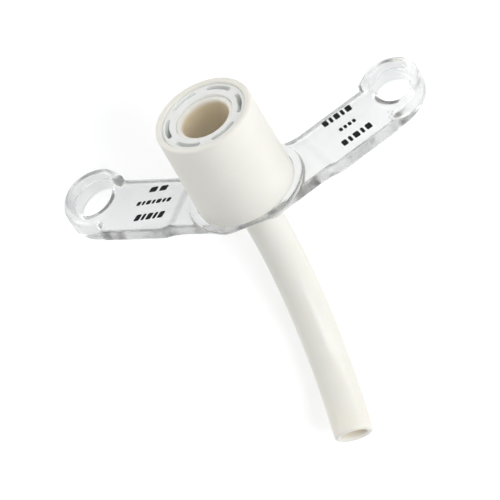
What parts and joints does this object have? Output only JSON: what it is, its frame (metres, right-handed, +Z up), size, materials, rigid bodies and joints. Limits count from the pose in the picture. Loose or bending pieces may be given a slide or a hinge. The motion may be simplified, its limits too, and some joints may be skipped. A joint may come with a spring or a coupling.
{
  "type": "tracheostomy tube",
  "caption": "Cuffless paediatric tracheostomy tube: curved cream cannula through a clear winged neck flange, ending in a 15 mm cone connector.",
  "frame": {"origin": "middle of the bounding box at table level, with the tube lying as it comes to rest on the head-side ends of its wings and the back of its bend", "axes": "+Z up from the table, +Y towards the connector's open mouth, X along the two wings"},
  "size_m": [0.0576, 0.0586, 0.0294],
  "materials": {
    "cream_pvc": "soft satin, slightly translucent",
    "cream_connector": "smooth moulded, satin",
    "clear_core": "clear moulded, glossy",
    "clear_pvc": "clear soft PVC, glossy",
    "black_print": "pad-printed ink"
  },
  "bodies": {
    "root": {"cannula": "cream_pvc", "connector_shell": "cream_connector", "connector_core": "clear_core", "neck_flange": "clear_pvc"}
  },
  "joints": []
}
